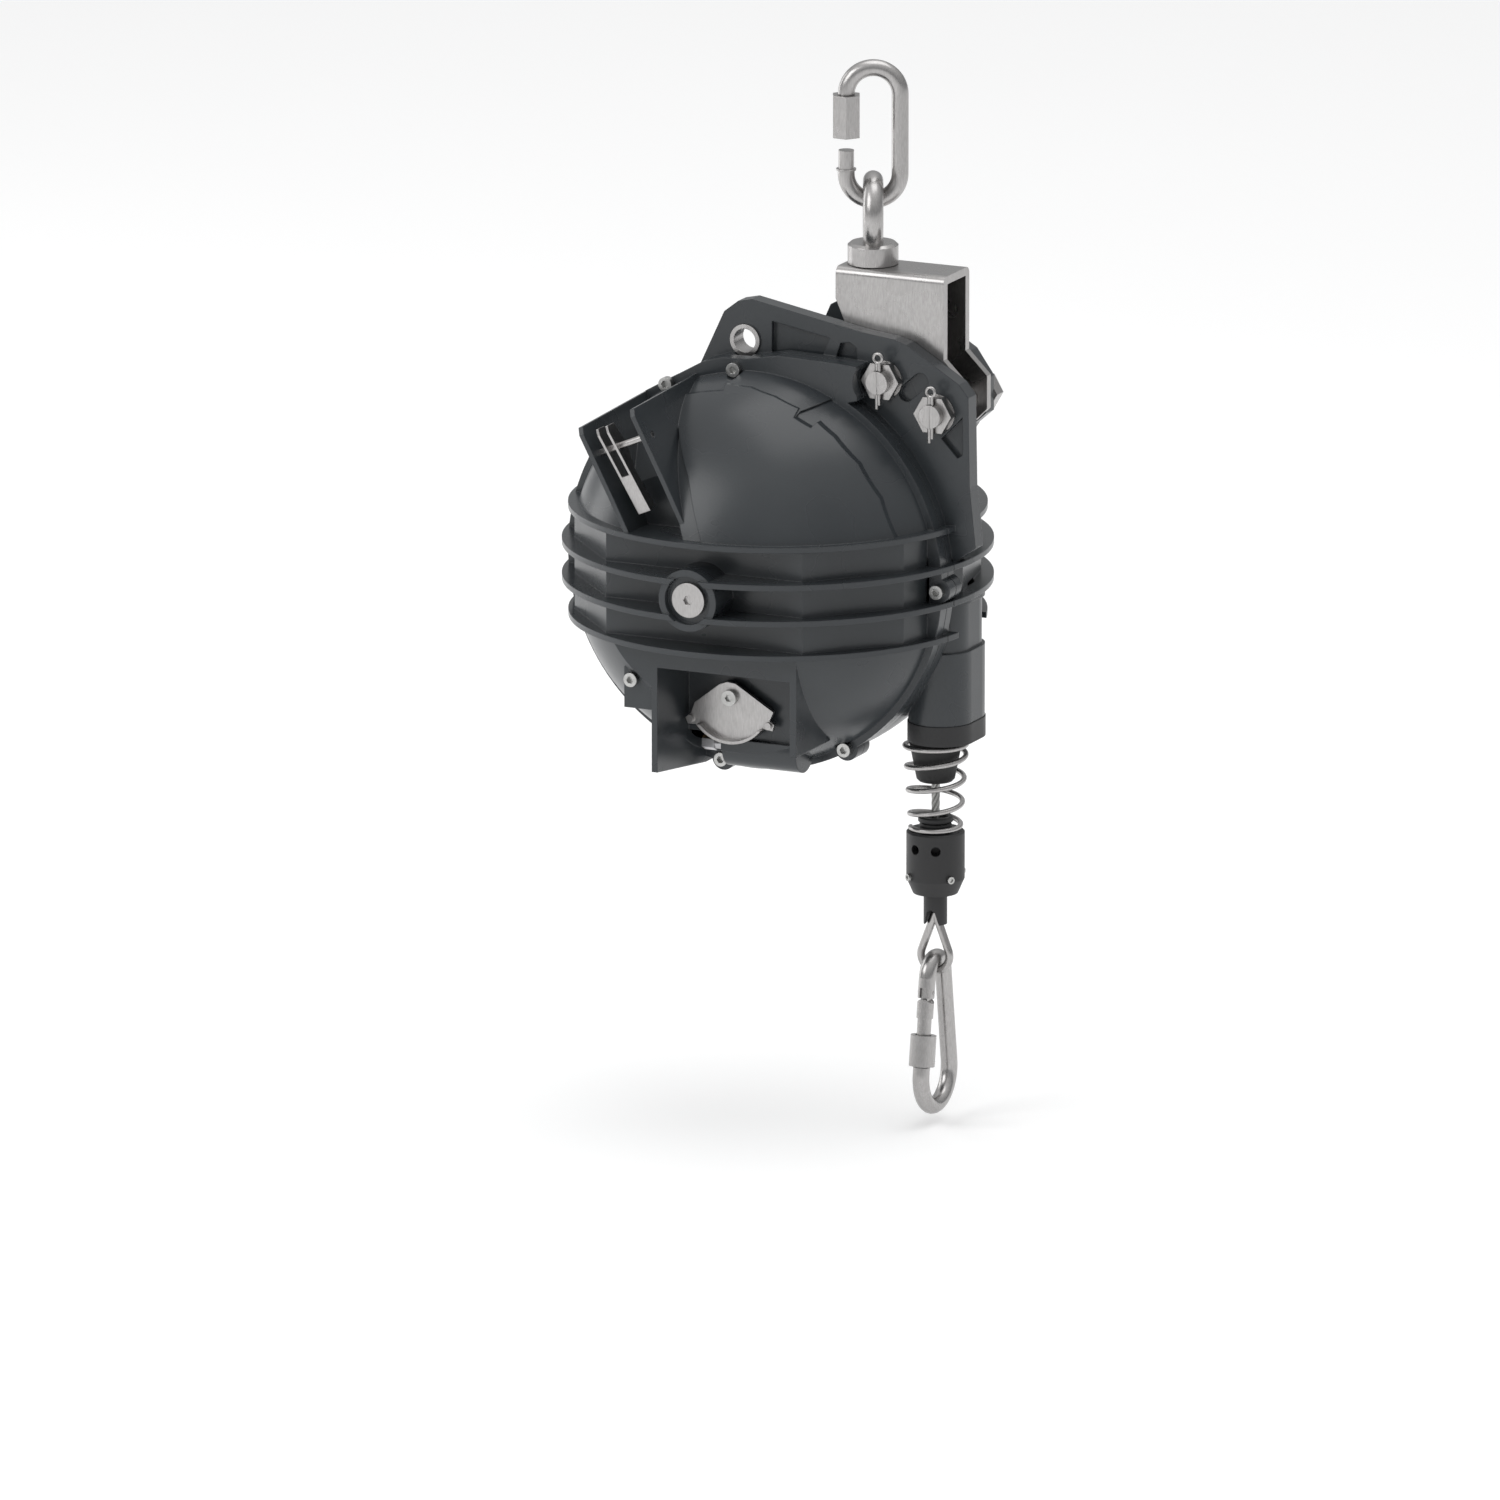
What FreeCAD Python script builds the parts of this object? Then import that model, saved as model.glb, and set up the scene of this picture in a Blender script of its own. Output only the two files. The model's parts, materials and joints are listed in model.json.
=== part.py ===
# Tool balancer: a ball-shaped spring housing that hangs from a swivel eye and a quick link,
# and pays out a steel rope that ends in a clamp, a thimble and a snap hook.
#
# Every sub-part is modelled about the centre of the ball: drum axis along Y, front cover
# towards -Y, rope outlet towards +X, Z up. Its Placement then moves it so that the origin
# of the finished part is the bearing point at the top of the quick link.
import FreeCAD, Part

import math
import os
import re

import Sketcher
from FreeCAD import Placement, Rotation, Vector

DIMENSIONS = {
    # ball and its ribs
    "ball_radius": (128.0, "outer edge of the horizontal ribs"),
    "dome_radius": (122.0, "outside of the two domes"),
    "cavity_radius": (116.5, "inside of the two domes"),
    "band_radius": (120.0, "corner radius of the faceted band between the ribs"),
    "band_cavity_radius": (114.8, "inside corner radius of the faceted band"),
    "rib_pitch": (21.7, "height from one rib to the next"),
    "rib_thickness": (3.4, "thickness of a rib"),
    "flange_radius": (121.5, "outside of the joint flange"),
    "flange_front": (-33.0, "front face of the cover flange"),
    "split_front": (-24.3, "back face of the cover"),
    "split_back": (-23.7, "front face of the rear housing"),
    "flange_back": (-16.0, "back face of the rear flange"),
    # suspension
    "hang_x": (56.0, "suspension line, beside the drum axis"),
    "hang_y": (12.0, "suspension line, behind the ball centre"),
    "hang_z": (292.3, "bearing point at the top of the quick link"),
    "lug_front": (-17.0, "front face of the front lug"),
    "lug_thickness": (11.0, "thickness of each lug plate"),
    "rear_lug_front": (30.3, "front face of the rear lug"),
    "bracket_front": (-5.7, "outside of the front leg of the hanger bracket"),
    "bracket_depth": (35.7, "hanger bracket over both legs"),
    "bracket_plate": (5.0, "hanger bracket plate thickness"),
    "bracket_top": (180.0, "top face of the hanger bracket"),
    "bracket_left": (40.0, "left edge of the hanger bracket"),
    "bracket_right": (110.0, "right edge of the hanger bracket"),
    "bolt_radius": (7.0, "M14 hanger bolt"),
    "bolt_low_x": (111.0, "right hanger bolt"),
    "bolt_low_z": (101.0, "right hanger bolt"),
    "bolt_high_x": (77.0, "left hanger bolt"),
    "bolt_high_z": (118.0, "left hanger bolt"),
    "safety_x": (-13.0, "safety chain hole"),
    "safety_z": (133.0, "safety chain hole"),
    "safety_bore": (7.0, "inside radius of the safety chain bush"),
    "eye_centre_z": (211.2, "centre of the swivel eye"),
    "eye_radius": (18.0, "swivel eye, to the middle of the bar"),
    "eye_bar": (6.0, "radius of the swivel eye bar"),
    "link_wire": (5.0, "radius of the quick link wire"),
    "link_half_width": (15.8, "quick link, centre to the middle of a leg"),
    "link_low": (218.0, "middle of the wire at the bottom of the quick link"),
    "view_turn": (25.2, "turn of the eye and link about the suspension line, degrees"),
    # drum and spring
    "axle_radius": (9.0, "fixed axle"),
    "drum_radius": (100.0, "rope layer on the drum, to the middle of the rope"),
    "rope_radius": (2.5, "steel rope"),
    "rope_y": (6.0, "rope line, behind the ball centre"),
    # outlet and load train
    "tube_radius": (19.0, "outside of the outlet tube"),
    "tube_bore": (13.0, "inside of the outlet tube"),
    "tube_stretch": (15.0, "length of the flat sides of the outlet tube"),
    "tube_bottom": (-90.0, "bottom of the outlet tube"),
    "collar_bottom": (-102.0, "bottom of the outlet collar"),
    "clamp_radius": (17.3, "rope clamp body"),
    "neck_radius": (7.0, "neck sleeve under the clamp"),
    "neck_bottom": (-214.0, "bottom of the neck sleeve"),
    "hook_wire": (5.0, "radius of the snap hook wire"),
}

doc = FreeCAD.newDocument("ToolBalancer")
sheet = doc.addObject("Spreadsheet::Sheet", "Dims")
for row, (alias, (number, note)) in enumerate(DIMENSIONS.items(), start=1):
    sheet.set(f"A{row}", note)
    sheet.set(f"B{row}", str(number))
    sheet.setAlias(f"B{row}", alias)
doc.recompute()

SUB_PARTS = []


def formula(size):
    """The expression text of a size, with each driving dimension read from the sheet."""
    def with_sheet(word):
        return "Dims." + word[0] if word[0] in DIMENSIONS else word[0]

    return re.sub(r"[a-z]\w+", with_sheet, str(size))


def value(size):
    """The present value of a size in millimetres (or degrees)."""
    result = sheet.evalExpression(formula(size))
    return float(getattr(result, "Value", result))


def bind(item, **sizes):
    """Bind properties of an object to the sheet."""
    for prop, size in sizes.items():
        if isinstance(size, str):
            item.setExpression(prop, formula(size))
        else:
            setattr(item, prop, size)
    return item


def put(item, at=(0, 0, 0), turn=None):
    """Place an object; the coordinates may be formulas."""
    item.Placement = Placement(Vector(*[value(size) for size in at]), turn or Rotation())
    for letter, size in zip("xyz", at):
        if isinstance(size, str):
            item.setExpression(".Placement.Base." + letter, formula(size))
    return item


ALONG = {
    "z": Rotation(),
    "x": Rotation(Vector(0, 1, 0), 90),
    "y": Rotation(Vector(1, 0, 0), -90),
}


def facing(along):
    """The turn that lays an upright primitive along an axis, or the turn itself."""
    return ALONG[along] if isinstance(along, str) else along


def box(name, size, at, turn=None):
    item = bind(doc.addObject("Part::Box", name), Length=size[0], Width=size[1], Height=size[2])
    return put(item, at, turn)


def cylinder(name, radius, height, at, along="z"):
    item = bind(doc.addObject("Part::Cylinder", name), Radius=radius, Height=height)
    return put(item, at, facing(along))


def cone(name, radius1, radius2, height, at, along="z"):
    item = bind(doc.addObject("Part::Cone", name), Radius1=radius1, Radius2=radius2, Height=height)
    return put(item, at, facing(along))


def torus(name, radius1, radius2, at, along="z"):
    item = bind(doc.addObject("Part::Torus", name), Radius1=radius1, Radius2=radius2)
    return put(item, at, facing(along))


def sphere(name, radius, at=(0, 0, 0)):
    return put(bind(doc.addObject("Part::Sphere", name), Radius=radius), at)


def hexagon(name, across_flats, height, at, along="z", spin=0):
    item = bind(doc.addObject("Part::Prism", name), Height=height)
    item.Polygon = 6
    bind(item, Circumradius=f"({across_flats}) / sqrt(3)")
    return put(item, at, facing(along) * Rotation(Vector(0, 0, 1), spin))


def fuse(name, *items):
    item = doc.addObject("Part::MultiFuse", name)
    item.Shapes = list(items)
    item.Refine = True
    return item


def common(name, *items):
    item = doc.addObject("Part::MultiCommon", name)
    item.Shapes = list(items)
    return item


def cut(name, base, *tools):
    tool = tools[0] if len(tools) == 1 else fuse(name + "_tools", *tools)
    item = doc.addObject("Part::Cut", name)
    item.Base = base
    item.Tool = tool
    return item


def clone(name, source, at, turn=None):
    """A linked copy of an object at another place."""
    item = doc.addObject("Part::Compound", name)
    item.Links = [source]
    return put(item, at, turn)


PLANES = {
    "xy": ("XY_Plane", 1),
    "xz": ("XZ_Plane", -1),
    "yz": ("YZ_Plane", 1),
}


def sketch_in(body, plane, outline, offset=0):
    """A closed outline whose corners are held by bound distances from the origin."""
    role, sign = PLANES[plane]
    sketch = body.newObject("Sketcher::SketchObject", body.Name + "_sketch")
    origin_plane = next(feature for feature in body.Origin.OriginFeatures if feature.Role == role)
    sketch.AttachmentSupport = (origin_plane, "")
    sketch.MapMode = "FlatFace"
    sketch.AttachmentOffset = Placement(Vector(0, 0, sign * value(offset)), Rotation())
    if isinstance(offset, str):
        sketch.setExpression(".AttachmentOffset.Base.z", formula(f"{sign} * ({offset})"))
    corners = [Vector(value(u), value(v), 0) for u, v in outline]
    for number, corner in enumerate(corners):
        sketch.addGeometry(Part.LineSegment(corner, corners[(number + 1) % len(corners)]))
    for number, (u, v) in enumerate(outline):
        sketch.addConstraint(Sketcher.Constraint("Coincident", number, 2, (number + 1) % len(corners), 1))
        for kind, size in (("DistanceX", u), ("DistanceY", v)):
            index = sketch.addConstraint(Sketcher.Constraint(kind, -1, 1, number, 1, value(size)))
            if isinstance(size, str):
                sketch.setExpression(f"Constraints[{index}]", formula(size))
    return sketch


def pad(name, plane, outline, start, length, at=(0, 0, 0), turn=None):
    """An outline given thickness, from start to start + length along its plane's normal axis."""
    body = doc.addObject("PartDesign::Body", name)
    first = f"({start}) + ({length})" if plane == "xz" else start
    sketch = sketch_in(body, plane, outline, first)
    feature = body.newObject("PartDesign::Pad", name + "_pad")
    feature.Profile = sketch
    bind(feature, Length=length)
    return put(body, at, turn)


def revolve(name, plane, outline, at=(0, 0, 0), turn=None):
    """An outline turned about its plane's upright axis."""
    body = doc.addObject("PartDesign::Body", name)
    sketch = sketch_in(body, plane, outline)
    feature = body.newObject("PartDesign::Revolution", name + "_turned")
    feature.Profile = sketch
    feature.ReferenceAxis = (sketch, ["V_Axis"])
    feature.Angle = 360
    return put(body, at, turn)


def finish(name, item):
    """Record a finished sub-part, moved so that the origin is the bearing point of the quick link."""
    item.Label = name
    base = item.Placement
    start = base.Base
    hang = Vector(value("hang_x"), value("hang_y"), value("hang_z"))
    item.Placement = Placement(start - hang, base.Rotation)
    for letter, shift in zip("xyz", ("hang_x", "hang_y", "hang_z")):
        item.setExpression(".Placement.Base." + letter, formula(f"{getattr(start, letter)} - {shift}"))
    SUB_PARTS.append(item)
    return item


# ---------------------------------------------------------------- ball housing
FACET_TURNS = (-32, 32, 63, 90, 117, 148, 212, 243, 270, 297)
RIB_LEVELS = ("1.5 * rib_pitch", "0.5 * rib_pitch", "-0.5 * rib_pitch", "-1.5 * rib_pitch")
BAND_TOP = "1.5 * rib_pitch"
REACH = 400.0


def faceted(name, corner_radius, bottom, height):
    """The ten-sided upright prism of the band between the ribs."""
    outline = [(f"{corner_radius} * sin({turn} deg)", f"-({corner_radius}) * cos({turn} deg)")
               for turn in FACET_TURNS]
    return pad(name, "xy", outline, bottom, height)


def half_space(name, front, back):
    """Everything between two distances along the drum axis."""
    return box(name, (REACH, f"({back}) - ({front})", REACH), (-REACH / 2, front, -REACH / 2))


def ribs(name):
    """Four level ribs whose edges lie on one sphere."""
    plates = []
    for number, level in enumerate(RIB_LEVELS, start=1):
        plates.append(cylinder(
            f"{name}_rib_{number}",
            f"sqrt(ball_radius ^ 2 - ({level}) ^ 2)",
            "rib_thickness",
            (0, 0, f"({level}) - rib_thickness / 2"),
        ))
    return plates


def ball(name):
    """The two domes, the faceted band between them and the four ribs, solid."""
    dome = cut(
        name + "_domes",
        sphere(name + "_sphere", "dome_radius"),
        box(name + "_band_slab", (REACH, REACH, f"2 * {BAND_TOP}"),
            (-REACH / 2, -REACH / 2, f"-({BAND_TOP})")),
    )
    band = faceted(name + "_band", "band_radius", f"-({BAND_TOP})", f"2 * {BAND_TOP}")
    return fuse(name + "_solid", dome, band, *ribs(name))


def cavity(name):
    """The space inside the housing: a sphere kept behind the facets."""
    return common(
        name,
        sphere(name + "_sphere", "cavity_radius"),
        faceted(name + "_prism", "band_cavity_radius", -150, 300),
    )


# the drum-lock channel stands on the upper left of the cover, leaning from the vertical
CHANNEL_LEAN = -23.0
CHANNEL_TURN = Rotation(Vector(0, 1, 0), CHANNEL_LEAN)
CHANNEL_WALL = 3.0
CHANNEL_OUTER = -26.0
CHANNEL_INNER = 7.2


def channel_prism(name, outline, start, length):
    """A prism across the channel; the outline is (distance along Y, distance up the channel)."""
    return pad(name, "yz", outline, start, length, turn=CHANNEL_TURN)


def channel_walls():
    """The two tall plates that guard the lock lever."""
    outline = [(-112, 28), (-117, 70), (-123.5, 112), (-121, 116.5), (-24.3, 119.5), (-24.3, 60), (-60, 28)]
    return [
        channel_prism("channel_outer_wall", outline, CHANNEL_OUTER - CHANNEL_WALL, CHANNEL_WALL),
        channel_prism("channel_inner_wall", outline, CHANNEL_INNER, CHANNEL_WALL),
    ]


def channel_pocket():
    """The hollow between the channel walls, in front of its floor."""
    return channel_prism("channel_pocket", [
        (-150, 20), (-88, 20), (-88, 73), (-56, 102), (-40, 113), (-40, 150), (-150, 150),
    ], CHANNEL_OUTER, CHANNEL_INNER - CHANNEL_OUTER)


def channel_room():
    """The part of the inside that is given up to the channel and its floor."""
    return channel_prism("channel_room", [
        (-150, 10), (-84, 10), (-84, 75), (-52, 104), (-36, 125), (-150, 125),
    ], CHANNEL_OUTER - 4, CHANNEL_INNER - CHANNEL_OUTER + 8)


# the apron is the flat lower front of the cover with the recess of the spring adjuster
APRON_LEFT = -35.0
APRON_RIGHT = 58.8
APRON_FRONT = -100.0
APRON_BOTTOM = -94.0
RECESS_LEFT = -31.3
RECESS_RIGHT = 54.5
RECESS_TOP = -49.0
RECESS_BACK = -57.0
RECESS_BOTTOM = -98.0
WORM_Y = -48.0
WORM_Z = -104.0
WORM_HOUSING_RADIUS = 12.6
WORM_BORE = 8.6
SCREW_PLACES = (
    (-12.0, -33.0, 119.0), (-56.0, -33.0, 106.0), (119.5, -33.0, -2.0),
    (60.0, -33.0, -103.5), (-20.0, -33.0, -117.5), (-48.2, -97.5, -57.8),
)
FLANGE_EAR_RADIUS = 7.2
SCREW_RADIUS = 2.5
SCREW_LENGTH = 16.5
SCREW_HEAD = 4.25
SCREW_HEAD_LENGTH = 4.5
SCREW_KEY = 2.0
WHEEL_RADIUS = 95.2


def between(name, low, high):
    """A box from its lowest to its highest corner."""
    size = [f"({stop}) - ({start})" if str in (type(start), type(stop)) else stop - start
            for start, stop in zip(low, high)]
    return box(name, size, low)


def flange_outline(name, front, back):
    """The joint flange: a disc with a raised flat top that carries the upper screws."""
    depth = f"({back}) - ({front})"
    disc = cylinder(name + "_disc", "flange_radius", depth, (0, front, 0), "y")
    raised = pad(name + "_raised", "xz", [
        (-71, 100), (-34, 121), (-21.5, 125), (-5, 125.6), (15, 129.5), (52, 128.5),
        (66, 127.5), (66.5, 107), (0, 90),
    ], front, depth)
    ears = [cylinder(f"{name}_ear_{number}", FLANGE_EAR_RADIUS, depth, (x, front, z), "y")
            for number, (x, _, z) in enumerate(SCREW_PLACES[2:5], start=1)]
    return [disc, raised, *ears]


def screw_holes(name, front, back, radius):
    """Holes for the six cover screws."""
    return [cylinder(f"{name}_{number}", radius, back - front, (x, seat + front, z), "y")
            for number, (x, seat, z) in enumerate(SCREW_PLACES, start=1)]


def apron_prism(name):
    """The part of the apron that stands out of the ball, and its long left wall."""
    frame = between(name + "_frame", (APRON_LEFT, APRON_FRONT, APRON_BOTTOM), (APRON_RIGHT, -53, -36))
    wall = pad(name + "_wall", "yz", [
        (APRON_FRONT, -36), (APRON_FRONT, -112.5), (-33, -121), (-24.3, -121), (-24.3, -100), (-53, -49),
    ], APRON_LEFT, RECESS_LEFT - APRON_LEFT)
    return [frame, wall]


def worm_housing(name, radius, left, right):
    return cylinder(name, radius, right - left, (left, WORM_Y, WORM_Z), "x")


PLATE_PIVOT = (-0.8, -71.7)


def in_channel(across, depth, up):
    """A point given across the channel, along the drum axis and up the channel."""
    return tuple(CHANNEL_TURN.multVec(Vector(across, depth, up)))


LEVER_PIN = (-111.0, 98.0)
LEVER_PIN_START = in_channel(CHANNEL_OUTER - 2.2, *LEVER_PIN)
LEVER_PIN_TURN = CHANNEL_TURN * ALONG["x"]
PANEL_RISE = 2.2
UPPER_BAND_RISE = 1.2
BOSS_RADIUS = 18.5
BOSS_FRONT = -121.0


def nut_room(name):
    """The relief in both flanges for the nut of the left hanger bolt."""
    return cylinder(name, 13.2, 20, ("bolt_high_x", -37, "bolt_high_z"), "y")


def front_cover():
    """The front half of the ball with flange, axle boss, lock channel, dome panel and apron."""
    lower_front = between("cover_lower_front", (-150, -150, -150), (APRON_RIGHT, APRON_FRONT, -34.5))
    outside = cut("cover_ball_front", ball("cover"), lower_front)
    hollow = cut(
        "cover_hollow",
        cavity("cover_cavity"),
        between("cover_apron_room", (-36, -150, -150), (60, -53, -49)),
        channel_room(),
    )
    shell = cut("cover_shell", outside, hollow)
    above_rib = between("above_rib", (-200, -200, 32), (200, "split_front", 200))
    channel = common("cover_channel", fuse("channel_walls", *channel_walls()), above_rib)
    above_rib_top = between("above_rib_top", (-200, -200, 34.1), (200, "split_front", 200))
    pocket = common("cover_channel_pocket", channel_pocket(), above_rib_top)
    outer = cut("cover_outer", fuse("cover_outer_walls", channel, *apron_prism("apron")), hollow)
    boss = cylinder("axle_boss", BOSS_RADIUS, 40, (0, BOSS_FRONT, 0), "y")
    boss_ring = cut(
        "boss_ring",
        cylinder("boss_ring_outside", BOSS_RADIUS, 4, (0, BOSS_FRONT - 4, 0), "y"),
        cylinder("boss_ring_inside", BOSS_RADIUS - 4, 6, (0, BOSS_FRONT - 5, 0), "y"),
    )
    panel = cut(
        "dome_panel",
        common(
            "dome_panel_raised",
            sphere("dome_panel_sphere", f"dome_radius + {PANEL_RISE}"),
            pad("dome_panel_outline", "xz", [
                (8.4, 30), (-9.2, 67.7), (-26.8, 90.9), (-39.4, 104.7), (-22.9, 108.5), (-8.9, 110.7),
                (-11.4, 113.4), (5.8, 113.2), (22.7, 109.8), (38.9, 104.4), (38.9, 100.5), (50, 95.4),
                (51.6, 97.9), (62.9, 90.4), (79, 76), (93.5, 56.5), (103.7, 33.4), (104.5, 30),
            ], -160, 130),
        ),
        sphere("dome_panel_inside", "dome_radius - 1"),
    )
    upper_band = cut(
        "upper_band",
        common(
            "upper_band_raised",
            sphere("upper_band_sphere", f"dome_radius + {UPPER_BAND_RISE}"),
            pad("upper_band_outline", "xz", [
                (-11.4, 107), (38.9, 99), (39.9, 102.8), (51.3, 107.3), (50, 115), (20, 122), (-11.4, 122),
            ], -100, 70),
        ),
        sphere("upper_band_inside", "dome_radius - 1"),
    )
    ear_block = pad("cover_ear_block", "xz", [(-54, -51), (-54, -75.6), (-34, -75.6), (-34, -40), (-44, -40)],
                    SCREW_PLACES[-1][1], 40)
    ear = cut("cover_ear", ear_block, hollow)
    added = fuse(
        "cover_added", shell, outer, boss, boss_ring, panel, upper_band, ear,
        worm_housing("worm_housing", WORM_HOUSING_RADIUS, -8, 40),
        *flange_outline("cover_flange", "flange_front", "split_front"),
    )
    spot_faces = [cylinder(f"spot_face_{number}", 5.2, 60, (x, seat - 60, z), "y")
                  for number, (x, seat, z) in enumerate(SCREW_PLACES, start=1)]
    open_cover = cut(
        "cover_open",
        added,
        pocket,
        cavity_inside_flange("cover_flange_bore"),
        cylinder("boss_recess", BOSS_RADIUS - 4, 12, (0, BOSS_FRONT - 12, 0), "y"),
        nut_room("cover_nut_room"),
        cylinder("wheel_room", WHEEL_RADIUS + 0.6, 9.5, (0, -52.7, 0), "y"),
        cut(
            "recess",
            between("recess_room", (RECESS_LEFT, -150, RECESS_BOTTOM), (RECESS_RIGHT, RECESS_BACK, RECESS_TOP)),
            cylinder("plate_boss", 6.4, 8, (PLATE_PIVOT[0], -61.5, PLATE_PIVOT[1]), "y"),
        ),
        between("recess_mouth", (RECESS_LEFT, -150, -150), (RECESS_RIGHT, -60.9, RECESS_BOTTOM + 1)),
        worm_housing("worm_bore", WORM_BORE, -4, 36),
        between("worm_window", (-4, WORM_Y - 7, WORM_Z), (36, WORM_Y + 7, -88)),
        worm_housing("worm_shaft_hole", 4.05, -20, 0),
        between("worm_end_room", (RECESS_LEFT + 0.1, -70, -120), (-8.5, -38, -95.8)),
        cylinder("plate_screw_hole", 3.05, 12, (PLATE_PIVOT[0], -62, PLATE_PIVOT[1]), "y"),
        put(cylinder("lever_pin_hole", 2.05, 60, (0, 0, 0)), LEVER_PIN_START, LEVER_PIN_TURN),
        cylinder("axle_bore", "axle_radius + 0.05", 60, (0, -140, 0), "y"),
        *spot_faces,
        *screw_holes("cover_screw_hole", -3, SCREW_LENGTH + 1, SCREW_RADIUS + 0.2),
    )
    front_half = half_space("front_half", -170, "split_front")
    return finish("front_cover", common("front_cover_solid", open_cover, front_half))


def cavity_inside_flange(name):
    """The bore of the joint flange."""
    return cylinder(name, "cavity_radius - 3", "flange_back - flange_front", (0, "flange_front", 0), "y")


front_cover()
doc.recompute()


# ---------------------------------------------------------------- rear housing
TUBE_X = 103.5
DRUM_ROOM_RADIUS = 106.5
TUBE_TOP = -12.0


def obround(name, radius, bottom, top, centre_x=TUBE_X):
    """An upright rod with two flat sides, stretched along the drum axis."""
    height = f"({top}) - ({bottom})"
    front = cylinder(name + "_front", radius, height, (centre_x, "rope_y", bottom))
    back = cylinder(name + "_back", radius, height, (centre_x, "rope_y + tube_stretch", bottom))
    middle = box(name + "_middle", (f"2 * ({radius})", "tube_stretch", height),
                 (f"{centre_x} - ({radius})", "rope_y", bottom))
    return fuse(name, front, back, middle)


def lug_plates():
    """The two lugs that hold the hanger bracket; the front one has weight-saving pockets."""
    front = pad("front_lug", "xz", [
        (-50, 100), (-42, 117), (-27, 149), (-18, 156), (-9, 158), (61.5, 145), (83, 142.5), (91, 140),
        (125, 119.5), (131, 112), (132, 58), (136, 22), (122, 12), (100, 50), (0, 96),
    ], "lug_front", "lug_thickness")
    rear = pad("rear_lug", "xz", [
        (10, 105), (16, 139), (20, 148), (27, 152), (61.5, 145), (83, 142.5), (91, 140),
        (110, 128.5), (121, 113), (121, 92), (112, 84), (98, 62), (60, 90),
    ], "rear_lug_front", "lug_thickness")
    outlines = (
        [(4, 146), (41.5, 139.3), (35.5, 124.5), (4, 126)],
        [(44.5, 124.7), (48.4, 137), (54.3, 138), (58.9, 135), (59.5, 125.5)],
        [(87.7, 114.6), (94.3, 107.2), (103.3, 115.2), (96.7, 122.6)],
        [(113.6, 86), (127.3, 100), (127.3, 77), (124, 75)],
    )
    pockets = [pad(f"lug_pocket_{number}", "xz", outline, "lug_front - 1", 4.6)
               for number, outline in enumerate(outlines, start=1)]
    pockets += [cylinder(f"lug_slot_end_{number}", 5.0, 4.6, (x, "lug_front - 1", z), "y")
                for number, (x, z) in enumerate(((100.0, 118.9), (91.0, 110.9)), start=1)]
    bolts = [cylinder(f"lug_bolt_hole_{number}", "bolt_radius + 0.1", 90, (x, -30, z), "y")
             for number, (x, z) in enumerate(BOLT_PLACES, start=1)]
    safety = cylinder("lug_safety_hole", 8.25, 20, ("safety_x", -25, "safety_z"), "y")
    return cut("lug_plates", fuse("lug_pair", front, rear), *pockets, *bolts, safety)


BOLT_PLACES = (("bolt_high_x", "bolt_high_z"), ("bolt_low_x", "bolt_low_z"))


def rear_housing():
    """The back half of the ball with flange, lugs, rear axle boss and rope outlet tube."""
    shell = cut("rear_shell", ball("rear"), cavity("rear_cavity"))
    boss = cylinder("rear_axle_boss", 24, 24, (0, 95, 0), "y")
    gusset = pad("tube_gusset", "xz", [(70, -60), (104, -60), (104, -89), (88, -86)], 2, 22)
    added = fuse(
        "rear_added", shell, lug_plates(), boss, gusset,
        obround("outlet_tube", "tube_radius + 0.5", "tube_bottom", TUBE_TOP),
        *flange_outline("rear_flange", "split_back", "flange_back"),
    )
    window = cut(
        "tube_window",
        between("tube_window_room", (104, -12.5, -46), (140, 39.5, -17)),
        obround("tube_window_core", 17.6, -50, -10),
    )
    open_rear = cut(
        "rear_open",
        added,
        cylinder("rear_flange_bore", "cavity_radius - 3", 20, (0, "split_back - 5", 0), "y"),
        cylinder("drum_room", DRUM_ROOM_RADIUS, 66, (0, -25, 0), "y"),
        nut_room("rear_nut_room"),
        cylinder("safety_spot_face", 10.2, 8, ("safety_x", -25, "safety_z"), "y"),
        cylinder("safety_flange_hole", 8.25, 20, ("safety_x", -25, "safety_z"), "y"),
        obround("outlet_bore", "tube_bore", -95, -8),
        window,
        cylinder("rear_axle_bore", "axle_radius + 0.05", 30, (0, 90, 0), "y"),
        *screw_holes("rear_screw_hole", 3, SCREW_LENGTH + 1, SCREW_RADIUS + 0.2),
    )
    rear_half = half_space("rear_half", "split_back", 170)
    return finish("rear_housing", common("rear_housing_solid", open_rear, rear_half))


def fastener(name, head_radius, head_length, shank_radius, shank_length, key_radius, at, along):
    """A round-headed screw with a driver recess; the head stands on the near side of its seat."""
    head = cylinder(name + "_head", head_radius, head_length, (0, 0, -head_length))
    shank = cylinder(name + "_shank", shank_radius, shank_length, (0, 0, 0))
    key = hexagon(name + "_key", 2 * key_radius, head_length * 0.6, (0, 0, -head_length))
    return put(cut(name, fuse(name + "_blank", head, shank), key), at, facing(along))


def cover_fasteners():
    """Gasket and the six socket screws of the joint flange."""
    ring = cut(
        "gasket",
        cylinder("gasket_outside", "flange_radius - 0.5", "split_back - split_front",
                 (0, "split_front", 0), "y"),
        cylinder("gasket_inside", "cavity_radius - 3", 10, (0, -30, 0), "y"),
        *screw_holes("gasket_hole", 3, SCREW_LENGTH + 1, SCREW_RADIUS + 0.2),
    )
    finish("housing_gasket", ring)
    for number, place in enumerate(SCREW_PLACES, start=1):
        screw = fastener(f"flange_screw_{number}", SCREW_HEAD, SCREW_HEAD_LENGTH, SCREW_RADIUS, SCREW_LENGTH,
                         SCREW_KEY, place, "y")
        finish(f"cover_screw_{number}", screw)


rear_housing()
cover_fasteners()


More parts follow.
